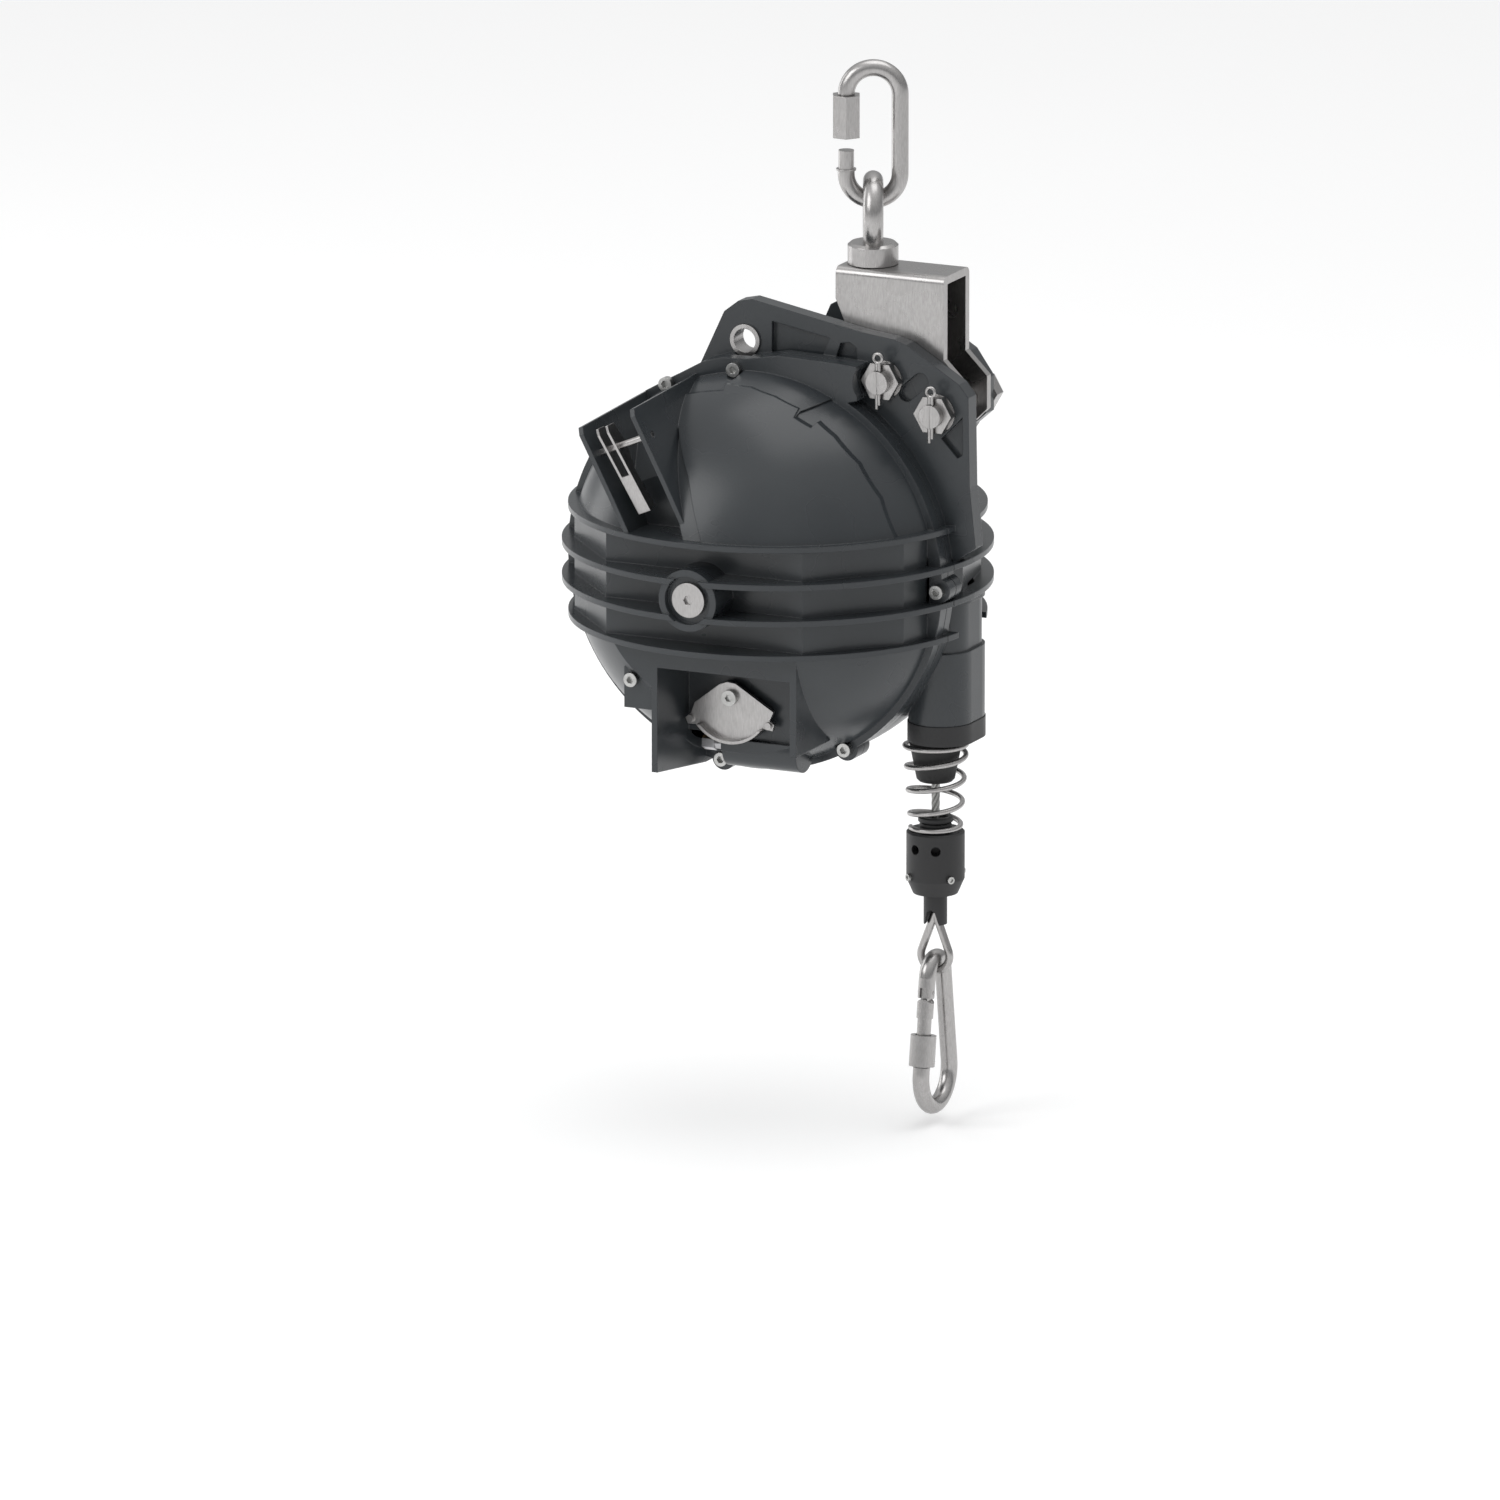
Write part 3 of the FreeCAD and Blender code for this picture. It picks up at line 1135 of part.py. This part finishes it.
# ---------------------------------------------------------------- write the sub-parts
doc.recompute()
for item in doc.Objects:
    if "Invalid" in item.State or "Error" in item.State:
        raise RuntimeError(f"{item.Name} failed: {item.State}")
for item in SUB_PARTS:
    if item.Shape.isNull() or not item.Shape.isValid() or len(item.Shape.Solids) != 1:
        raise RuntimeError(f"{item.Label} is not one valid solid")
os.makedirs("parts", exist_ok=True)
for item in SUB_PARTS:
    item.Shape.exportStep(f"parts/{item.Label}.step")
    print(f"{item.Label}: {item.Shape.Volume / 1000:.1f} cm3")
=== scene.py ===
import json
import math

import bmesh
import bpy
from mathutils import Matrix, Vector


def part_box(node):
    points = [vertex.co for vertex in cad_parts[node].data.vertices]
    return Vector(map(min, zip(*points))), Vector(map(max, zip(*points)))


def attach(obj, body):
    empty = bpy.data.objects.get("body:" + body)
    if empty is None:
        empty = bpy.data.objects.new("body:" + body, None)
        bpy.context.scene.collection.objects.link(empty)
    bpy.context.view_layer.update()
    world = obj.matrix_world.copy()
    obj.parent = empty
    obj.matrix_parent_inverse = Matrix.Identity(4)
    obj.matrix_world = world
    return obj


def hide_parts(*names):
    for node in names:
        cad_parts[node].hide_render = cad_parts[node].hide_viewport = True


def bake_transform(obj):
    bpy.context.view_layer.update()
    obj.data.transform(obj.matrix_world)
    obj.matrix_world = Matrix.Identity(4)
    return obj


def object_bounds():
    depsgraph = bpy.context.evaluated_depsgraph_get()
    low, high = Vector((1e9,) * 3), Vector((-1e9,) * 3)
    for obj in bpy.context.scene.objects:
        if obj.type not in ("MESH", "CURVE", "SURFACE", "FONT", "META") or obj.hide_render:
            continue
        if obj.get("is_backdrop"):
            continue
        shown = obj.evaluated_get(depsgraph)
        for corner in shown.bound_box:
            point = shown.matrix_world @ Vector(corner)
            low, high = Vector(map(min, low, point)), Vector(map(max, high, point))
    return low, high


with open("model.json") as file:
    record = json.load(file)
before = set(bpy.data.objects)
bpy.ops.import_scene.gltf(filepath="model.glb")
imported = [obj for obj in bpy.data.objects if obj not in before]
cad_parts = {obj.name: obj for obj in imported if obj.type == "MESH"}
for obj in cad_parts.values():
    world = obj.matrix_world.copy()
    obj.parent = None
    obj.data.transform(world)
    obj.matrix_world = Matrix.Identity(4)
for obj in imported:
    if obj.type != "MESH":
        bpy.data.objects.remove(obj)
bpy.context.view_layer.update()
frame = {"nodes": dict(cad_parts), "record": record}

# lengths are in metres
NODES = frame["nodes"]


# ---------------------------------------------------------------- material helpers
# how much finer a noise is along each axis: brushing that runs up and down, and lathe lines round Y
EVEN = (1, 1, 1)
BRUSHED_UPRIGHT = (6, 6, 1)
TURNED_ROUND_Y = (1, 8, 1)
# a noise hardly leaves this middle range, so this is what gets spread
NOISE_LOW, NOISE_HIGH = 0.3, 0.7
# a colour mix node has sockets of the same name for each kind of data, so these are numbers
MIX_FACTOR, MIX_A, MIX_B, MIX_RESULT = 0, 6, 7, 2


class Tree:
    """A small builder for one procedural material."""

    def __init__(self, name):
        self.material = bpy.data.materials.new(name)
        self.material.use_nodes = True
        self.tree = self.material.node_tree
        self.tree.nodes.clear()
        self.output = self.add("ShaderNodeOutputMaterial")
        self.shader = self.add("ShaderNodeBsdfPrincipled")
        self.link(self.shader, "BSDF", self.output, "Surface")
        self.coordinates = self.add("ShaderNodeTexCoord")

    def add(self, kind, **values):
        node = self.tree.nodes.new(kind)
        for key, item in values.items():
            setattr(node, key, item)
        return node

    def link(self, source, out, target, into):
        self.tree.links.new(source.outputs[out], target.inputs[into])

    def fixed(self, **sockets):
        """Uniform values, set on the shader's own sockets."""
        for name, item in sockets.items():
            self.shader.inputs[name.replace("_", " ")].default_value = item

    def noise(self, scale, stretch=EVEN, detail=4.0):
        """Noise in object space, with scale in waves per metre and stretch for the finer axes."""
        mapping = self.add("ShaderNodeMapping")
        mapping.inputs["Scale"].default_value = stretch
        self.link(self.coordinates, "Object", mapping, "Vector")
        node = self.add("ShaderNodeTexNoise")
        node.inputs["Scale"].default_value = scale
        node.inputs["Detail"].default_value = detail
        node.inputs["Roughness"].default_value = 0.55
        self.link(mapping, "Vector", node, "Vector")
        return node

    def spread(self, noise, low, high):
        """The noise's middle range, spread from low to high."""
        node = self.add("ShaderNodeMapRange")
        node.inputs["From Min"].default_value = NOISE_LOW
        node.inputs["From Max"].default_value = NOISE_HIGH
        node.inputs["To Min"].default_value = low
        node.inputs["To Max"].default_value = high
        self.link(noise, "Fac", node, "Value")
        return node

    def colour(self, noise, dark, light):
        """The base colour, which wanders from dark to light with the noise."""
        mix = self.add("ShaderNodeMix", data_type="RGBA")
        mix.inputs[MIX_A].default_value = (*dark, 1)
        mix.inputs[MIX_B].default_value = (*light, 1)
        self.link(self.spread(noise, 0, 1), "Result", mix, MIX_FACTOR)
        self.link(mix, MIX_RESULT, self.shader, "Base Color")

    def roughness(self, noise, low, high):
        self.link(self.spread(noise, low, high), "Result", self.shader, "Roughness")

    def bumps(self, edge, *layers):
        """Height layers (noise, strength, distance) over the normal of a softened edge."""
        last = self.add("ShaderNodeBevel", samples=4)
        last.inputs["Radius"].default_value = edge
        for noise, strength, distance in layers:
            bump = self.add("ShaderNodeBump")
            bump.inputs["Strength"].default_value = strength
            bump.inputs["Distance"].default_value = distance
            self.link(noise, "Fac", bump, "Height")
            self.link(last, "Normal", bump, "Normal")
            last = bump
        self.link(last, "Normal", self.shader, "Normal")


def powder_coat(name, dark, light):
    """Satin powder coat over a casting, with orange peel and a soft cast waviness."""
    t = Tree(name)
    cloud = t.noise(14, detail=3)
    peel = t.noise(900, detail=2)
    wave = t.noise(45, detail=2)
    t.colour(cloud, dark, light)
    t.roughness(cloud, 0.24, 0.33)
    t.bumps(0.0009, (peel, 0.10, 0.0003), (wave, 0.08, 0.0012))
    t.fixed(Specular_IOR_Level=0.5)
    return t.material


def steel(name, dark, light, rough, stretch=EVEN, edge=0.0005, strength=0.12, grain=260):
    """Bare metal with fine brushing, whose lines run across the finer axes."""
    t = Tree(name)
    brush = t.noise(grain, stretch, detail=3)
    cloud = t.noise(30, detail=3)
    t.colour(brush, dark, light)
    t.roughness(cloud, *rough)
    t.bumps(edge, (brush, strength, 0.0001))
    t.fixed(Metallic=1.0)
    return t.material


def moulded(name, dark, light, rough, grain, strength):
    """Moulded plastic or rubber with a fine grain."""
    t = Tree(name)
    fine = t.noise(grain, detail=2)
    cloud = t.noise(40, detail=3)
    t.colour(cloud, dark, light)
    t.roughness(cloud, *rough)
    t.bumps(0.0006, (fine, strength, 0.0002))
    return t.material


# the material of each slot that the record names
MATERIALS = {
    "cast_grey": powder_coat("cast_powder_coat", (0.027, 0.031, 0.035), (0.034, 0.039, 0.043)),
    "stainless": steel(
        "satin_stainless", (0.37, 0.36, 0.355), (0.46, 0.45, 0.445),
        rough=(0.24, 0.34), stretch=BRUSHED_UPRIGHT,
    ),
    "zinc_screw": steel("bright_screws", (0.42, 0.42, 0.41), (0.52, 0.52, 0.51), rough=(0.22, 0.32)),
    "black_plastic": moulded(
        "black_moulding", (0.012, 0.012, 0.013), (0.018, 0.018, 0.019),
        rough=(0.42, 0.54), grain=700, strength=0.15,
    ),
    "black_rubber": moulded(
        "black_rubber_skin", (0.010, 0.010, 0.010), (0.016, 0.016, 0.016),
        rough=(0.58, 0.72), grain=500, strength=0.25,
    ),
    "machined_steel": steel(
        "turned_steel", (0.36, 0.36, 0.37), (0.46, 0.46, 0.47),
        rough=(0.24, 0.34), stretch=TURNED_ROUND_Y,
    ),
    "aluminium_inside": steel(
        "turned_aluminium", (0.56, 0.57, 0.58), (0.66, 0.67, 0.68),
        rough=(0.34, 0.44), stretch=TURNED_ROUND_Y,
    ),
    "rope_steel": steel(
        "rope_wire", (0.30, 0.30, 0.29), (0.42, 0.42, 0.41),
        rough=(0.28, 0.40), edge=0.0001, strength=0.2, grain=1200,
    ),
    "bronze": steel("cast_bronze", (0.42, 0.26, 0.10), (0.52, 0.34, 0.15), rough=(0.30, 0.42)),
    "gasket": moulded(
        "flat_gasket", (0.018, 0.018, 0.018), (0.030, 0.030, 0.030),
        rough=(0.65, 0.8), grain=900, strength=0.2,
    ),
}

for part in frame["record"]["subparts"]:
    mesh = NODES[part["node"]].data
    mesh.materials.clear()
    mesh.materials.append(MATERIALS[part["material_slot"]])


# ---------------------------------------------------------------- softened edges
SHARP_ANGLE = math.radians(35)
# the width of the softened edge, and the CAD nodes that get it
SOFT_EDGES = {
    0.0009: ("link_nut", "hanger_nut_1", "hanger_nut_2"),
    0.0006: ("hanger_bolt_1", "hanger_bolt_2", "hook_sleeve", "axle_screw"),
    0.0004: ("lock_lever", "adjuster_plate"),
}

for width, names in SOFT_EDGES.items():
    for name in names:
        bevel = NODES[name].modifiers.new("edges", "BEVEL")
        bevel.width = width
        bevel.segments = 3
        bevel.limit_method = "ANGLE"
        bevel.angle_limit = SHARP_ANGLE


# ---------------------------------------------------------------- wires
def node_box(name):
    low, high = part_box(name)
    return Vector(low), Vector(high)


def ring(mesh, middle, across, over, width, height, sides):
    """The corners of one cross-section, an oval with these two directions and half axes."""
    return [
        mesh.verts.new(middle + across * (width * math.cos(a)) + over * (height * math.sin(a)))
        for a in (2 * math.pi * k / sides for k in range(sides))
    ]


def skin(mesh, rings):
    """The walls from ring to ring, and a face on each end."""
    sides = len(rings[0])
    for first, second in zip(rings, rings[1:]):
        for k in range(sides):
            after = (k + 1) % sides
            mesh.faces.new((first[k], first[after], second[after], second[k]))
    mesh.faces.new(rings[0])
    mesh.faces.new(reversed(rings[-1]))


def wire_piece(mesh, name, slot, flat_ends):
    """The finished piece of a wire mesh, with smooth walls."""
    bmesh.ops.recalc_face_normals(mesh, faces=mesh.faces)
    data = bpy.data.meshes.new(name)
    mesh.to_mesh(data)
    mesh.free()
    for face in data.polygons:
        face.use_smooth = len(face.vertices) == 4 or not flat_ends
    data.materials.append(MATERIALS[slot])
    piece = bpy.data.objects.new(name, data)
    bpy.context.scene.collection.objects.link(piece)
    return piece


# ---------------------------------------------------------------- the stranded rope
STRANDS = 6
# in rope radii: a strand's radius, and the height of one full twist
STRAND_SHARE = 0.335
LAY = 12
# in strand radii: the step from ring to ring, and a strand's half width along the rope's surface
RING_STEP = 1.1
STRAND_WIDTH = 1.12
STRAND_SIDES = 10


def stranded_rope():
    """Six wire strands laid together, from the drum to the clamp."""
    low, high = node_box("rope")
    centre = (low + high) / 2
    radius = (high.x - low.x) / 2
    strand = radius * STRAND_SHARE
    orbit = radius - strand
    lay = radius * LAY
    steps = int((high.z - low.z) / (strand * RING_STEP))
    mesh = bmesh.new()
    for number in range(STRANDS):
        rings = []
        for step in range(steps + 1):
            z = low.z + (high.z - low.z) * step / steps
            turn = 2 * math.pi * (number / STRANDS + (z - low.z) / lay)
            around = Vector((math.cos(turn), math.sin(turn), 0))
            side = Vector((-math.sin(turn), math.cos(turn), 0))
            middle = Vector((centre.x, centre.y, z)) + around * orbit
            rings.append(ring(mesh, middle, around, side, strand, strand * STRAND_WIDTH, STRAND_SIDES))
        skin(mesh, rings)
    rope = wire_piece(mesh, "rope_strands", "rope_steel", flat_ends=False)
    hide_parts("rope")
    middle = (centre.x, centre.y)
    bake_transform(rope)


stranded_rope()


# ---------------------------------------------------------------- the buffer spring
SPRING_WIRE = 0.0016
SPRING_WIRE_SIDES = 12
SPRING_FOOT_RADIUS = 0.0147
SPRING_START = math.radians(205)
# turns from the foot and the share of the height there: closed ends, open middle
SPRING_RISE = ((0.0, 0.0), (0.5, 0.023), (3.5, 0.867), (4.0, 0.98), (4.5, 1.0))
SPRING_TURNS = SPRING_RISE[-1][0]
STEPS_PER_TURN = 48
# turns on either side over which the rise is averaged, so that the pitch changes softly
RISE_SHIFTS = (-0.12, -0.06, 0, 0.06, 0.12)


def spring_share(turns):
    """The share of the spring's height that so many turns reach."""
    turns = min(max(turns, 0.0), SPRING_TURNS)
    stretches = zip(SPRING_RISE, SPRING_RISE[1:])
    (start, low), (stop, high) = next(pair for pair in stretches if turns <= pair[1][0])
    return low + (high - low) * (turns - start) / (stop - start)


def spring_line():
    """The middle line of the wire, a helix round the rope that widens upwards."""
    low, high = node_box("buffer_spring")
    rope_low, rope_high = node_box("rope")
    centre = (rope_low + rope_high) / 2
    foot, head = low.z + SPRING_WIRE, high.z - SPRING_WIRE
    head_radius = (high.x - low.x) / 2 - SPRING_WIRE
    points = []
    for step in range(int(SPRING_TURNS * STEPS_PER_TURN) + 1):
        turns = step / STEPS_PER_TURN
        share = sum(spring_share(turns + shift) for shift in RISE_SHIFTS) / len(RISE_SHIFTS)
        radius = SPRING_FOOT_RADIUS + (head_radius - SPRING_FOOT_RADIUS) * share
        angle = SPRING_START + 2 * math.pi * turns
        x = centre.x + radius * math.cos(angle)
        y = centre.y + radius * math.sin(angle)
        points.append(Vector((x, y, foot + (head - foot) * share)))
    return points


def helical_spring():
    """A round wire swept along the spring's line."""
    points = spring_line()
    mesh = bmesh.new()
    up = Vector((0, 0, 1))
    rings = []
    for number, point in enumerate(points):
        before, after = points[max(number - 1, 0)], points[min(number + 1, len(points) - 1)]
        along = (after - before).normalized()
        across = along.cross(up).normalized()
        over = across.cross(along)
        rings.append(ring(mesh, point, across, over, SPRING_WIRE, SPRING_WIRE, SPRING_WIRE_SIDES))
    skin(mesh, rings)
    spring = wire_piece(mesh, "buffer_spring_helix", "stainless", flat_ends=True)
    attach(spring, "load")
    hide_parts("buffer_spring")


helical_spring()


# ---------------------------------------------------------------- floor, light and camera
FLOOR_RADIUS = 40
FLOOR_GAP = 0.006


def stage():
    """A white floor just under the hook, large enough to be the backdrop too."""
    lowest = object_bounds()[0][2]
    mesh = bmesh.new()
    bmesh.ops.create_circle(mesh, cap_ends=True, radius=FLOOR_RADIUS, segments=96)
    data = bpy.data.meshes.new("floor")
    mesh.to_mesh(data)
    mesh.free()
    floor = bpy.data.objects.new("floor", data)
    floor.location.z = lowest - FLOOR_GAP
    bpy.context.scene.collection.objects.link(floor)
    t = Tree("white_floor")
    t.colour(t.noise(0.5), (0.93, 0.93, 0.93), (0.95, 0.95, 0.95))
    t.fixed(Roughness=0.9, Specular_IOR_Level=0.1, Emission_Color=(1, 1, 1, 1), Emission_Strength=0.13)
    data.materials.append(t.material)
    floor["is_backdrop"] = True


# the world's colour at the horizon and straight above; the camera itself sees plain white
SIDE_SKY = (0.20, 0.205, 0.21, 1)
TOP_SKY = (1.0, 1.0, 1.0, 1)
# the height where the sky starts to brighten, with 0 straight down, 0.5 level and 1 straight up
SKY_START = 0.45


def sky():
    """Soft white surroundings, brighter above than at the sides."""
    world = bpy.data.worlds.new("studio")
    bpy.context.scene.world = world
    world.use_nodes = True
    nodes, links = world.node_tree.nodes, world.node_tree.links
    nodes.clear()
    output = nodes.new("ShaderNodeOutputWorld")
    background = nodes.new("ShaderNodeBackground")
    coordinates = nodes.new("ShaderNodeTexCoord")
    split = nodes.new("ShaderNodeSeparateXYZ")
    height = nodes.new("ShaderNodeMapRange")
    height.inputs["From Min"].default_value = -1
    ramp = nodes.new("ShaderNodeValToRGB")
    side, top = ramp.color_ramp.elements
    side.position, side.color = SKY_START, SIDE_SKY
    top.position, top.color = 1.0, TOP_SKY
    path = nodes.new("ShaderNodeLightPath")
    mix = nodes.new("ShaderNodeMix")
    mix.data_type = "RGBA"
    mix.inputs[MIX_B].default_value = (1, 1, 1, 1)
    links.new(coordinates.outputs["Generated"], split.inputs["Vector"])
    links.new(split.outputs["Z"], height.inputs["Value"])
    links.new(height.outputs["Result"], ramp.inputs["Fac"])
    links.new(path.outputs["Is Camera Ray"], mix.inputs[MIX_FACTOR])
    links.new(ramp.outputs["Color"], mix.inputs[MIX_A])
    links.new(mix.outputs[MIX_RESULT], background.inputs["Color"])
    links.new(background.outputs["Background"], output.inputs["Surface"])


LAMP_AIM = Vector((-0.05, 0, -0.3))
# name, place, width and height, power in watts
LAMPS = (
    ("key", (-1.6, -2.2, 1.4), (1.8, 1.8), 26),
    ("side", (-2.6, 0.4, 0.2), (1.0, 2.0), 12),
    ("top", (0.2, 0.3, 2.2), (2.0, 2.0), 17),
)


def lamp(name, place, size, power):
    light = bpy.data.lights.new(name, "AREA")
    light.shape = "RECTANGLE"
    light.size, light.size_y = size
    light.energy = power
    holder = bpy.data.objects.new(name, light)
    holder.location = place
    holder.rotation_euler = (LAMP_AIM - Vector(place)).to_track_quat("-Z", "Y").to_euler()
    bpy.context.scene.collection.objects.link(holder)


# degrees from the front of the drum's axis, and above level; lens in millimetres
AZIMUTH, ELEVATION = 25.2, 14.0
LENS = 500.0
# the point in the middle of the view, and the width of the view there
TARGET = Vector((-0.0591, -0.0441, -0.4034))
SPAN = 0.885


def camera():
    turn, rise = math.radians(AZIMUTH), math.radians(ELEVATION)
    towards = Vector((math.sin(turn) * math.cos(rise), -math.cos(turn) * math.cos(rise), math.sin(rise)))
    data = bpy.data.cameras.new("camera")
    data.lens = LENS
    data.clip_end = 200
    holder = bpy.data.objects.new("camera", data)
    holder.location = TARGET + towards * (SPAN * LENS / data.sensor_width)
    holder.rotation_euler = (-towards).to_track_quat("-Z", "Y").to_euler()
    bpy.context.scene.collection.objects.link(holder)
    bpy.context.scene.camera = holder


stage()
sky()
for values in LAMPS:
    lamp(*values)
camera()

bpy.context.scene.view_settings.view_transform = "Standard"
